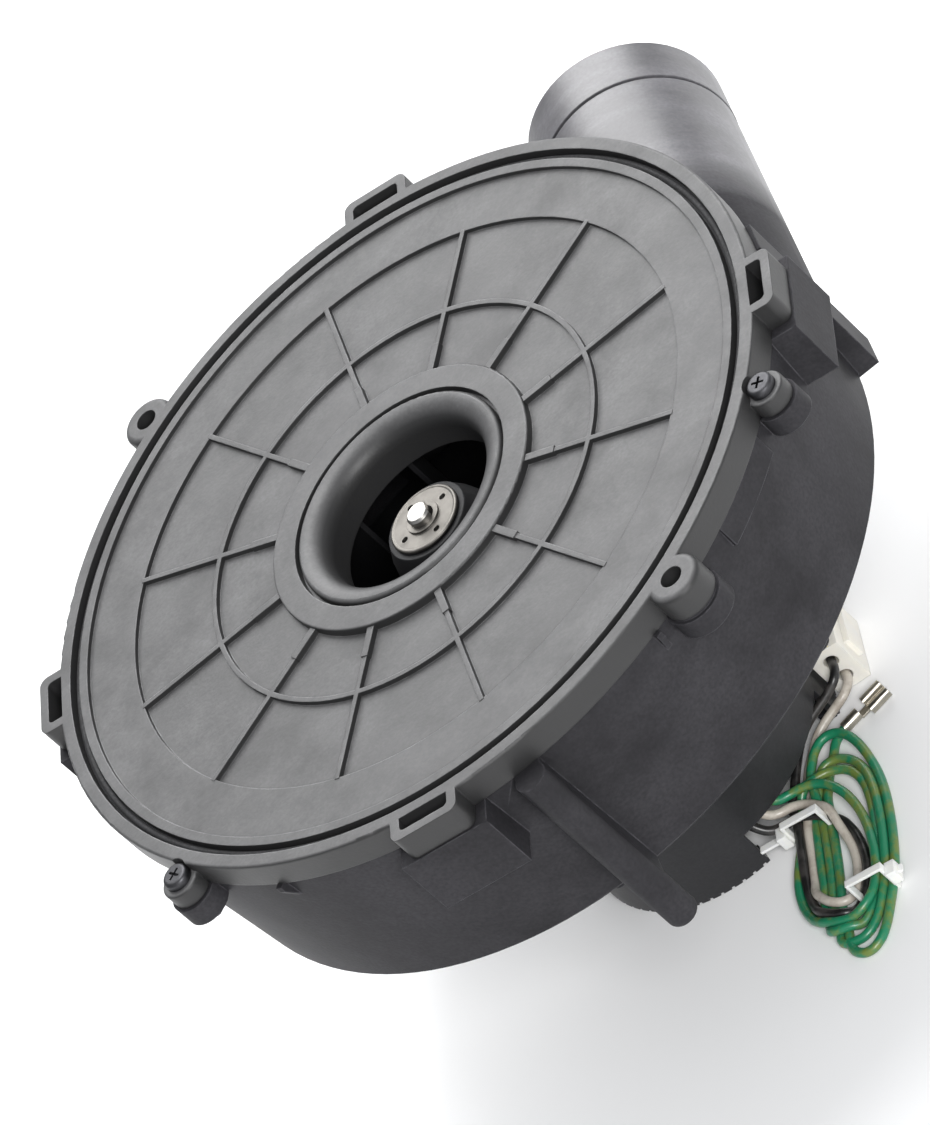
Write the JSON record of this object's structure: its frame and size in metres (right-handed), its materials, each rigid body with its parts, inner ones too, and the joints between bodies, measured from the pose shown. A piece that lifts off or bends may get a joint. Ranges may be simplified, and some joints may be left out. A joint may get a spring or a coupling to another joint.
{
  "type": "combustion fan",
  "caption": "Furnace draft inducer: round plastic blower housing with ribbed inlet cover, side outlet for a vent coupling, drain leg and a shrouded motor that turns the impeller.",
  "frame": {"origin": "shaft axis in the front plane of the inlet side, which is the centre of the two mounting holes", "axes": "+Z along the shaft, out of the inlet; +Y along the outlet, out of it; +X to the side that the outlet is on"},
  "size_m": [0.2648, 0.2665, 0.1538],
  "materials": {
    "cover_plastic": "charcoal glass-filled plastic, satin",
    "housing_plastic": "charcoal glass-filled plastic, satin",
    "black_rubber": "matte black",
    "black_steel": "black oxide",
    "impeller_plastic": "black, matte",
    "hub_steel": "zinc plated",
    "shaft_steel": "ground",
    "seal_silicone": "matte",
    "zinc_steel": "zinc plated",
    "bronze": "sintered, oiled",
    "lamination_steel": "varnished laminations",
    "insulator_plastic": "natural nylon",
    "copper_wire": "enamelled",
    "cast_aluminium": "as cast",
    "shroud_plastic": "black, satin",
    "green_insulation": "semi-gloss vinyl",
    "white_insulation": "semi-gloss vinyl",
    "black_insulation": "semi-gloss vinyl",
    "terminal_brass": "tin plated",
    "socket_brass": "plain",
    "connector_nylon": "natural nylon",
    "tie_nylon": "natural nylon"
  },
  "bodies": {
    "housing": {"inlet_cover": "cover_plastic", "face_gasket": "black_rubber", "scroll_housing": "housing_plastic", "assembly_screws": "black_steel", "shaft_seal": "seal_silicone", "seal_retainer": "zinc_steel", "front_bracket": "zinc_steel", "front_bearing": "bronze", "stator_core": "lamination_steel", "end_insulators": "insulator_plastic", "stator_windings": "copper_wire", "thermal_protector": "insulator_plastic", "rear_bracket": "zinc_steel", "rear_bearing": "bronze", "motor_through_bolts": "zinc_steel", "motor_bolt_nuts": "zinc_steel", "bracket_screws": "zinc_steel", "motor_shroud": "shroud_plastic", "shroud_screws": "zinc_steel", "shroud_isolators": "black_rubber", "lead_clamp": "shroud_plastic", "green_lead": "green_insulation", "white_lead": "white_insulation", "black_lead": "black_insulation", "lead_coil": "green_insulation", "green_lead_tail": "green_insulation", "white_lead_tail": "white_insulation", "black_lead_tail": "black_insulation", "ground_terminal": "terminal_brass", "lead_connector": "connector_nylon", "connector_sockets": "socket_brass", "inner_cable_tie": "tie_nylon", "outer_cable_tie": "tie_nylon"},
    "rotor": {"motor_shaft": "shaft_steel", "impeller": "impeller_plastic", "impeller_front_plate": "impeller_plastic", "impeller_hub": "hub_steel", "rotor_core": "lamination_steel", "rotor_end_rings": "cast_aluminium", "thrust_washers": "insulator_plastic", "cooling_fan": "impeller_plastic", "fan_retaining_clip": "shaft_steel"}
  },
  "joints": [
    {"name": "shaft_spin", "type": "hinge", "parent": "housing", "child": "rotor", "pos_m": [0, 0, -0.06], "axis": [0, 0, 1], "continuous": true}
  ]
}
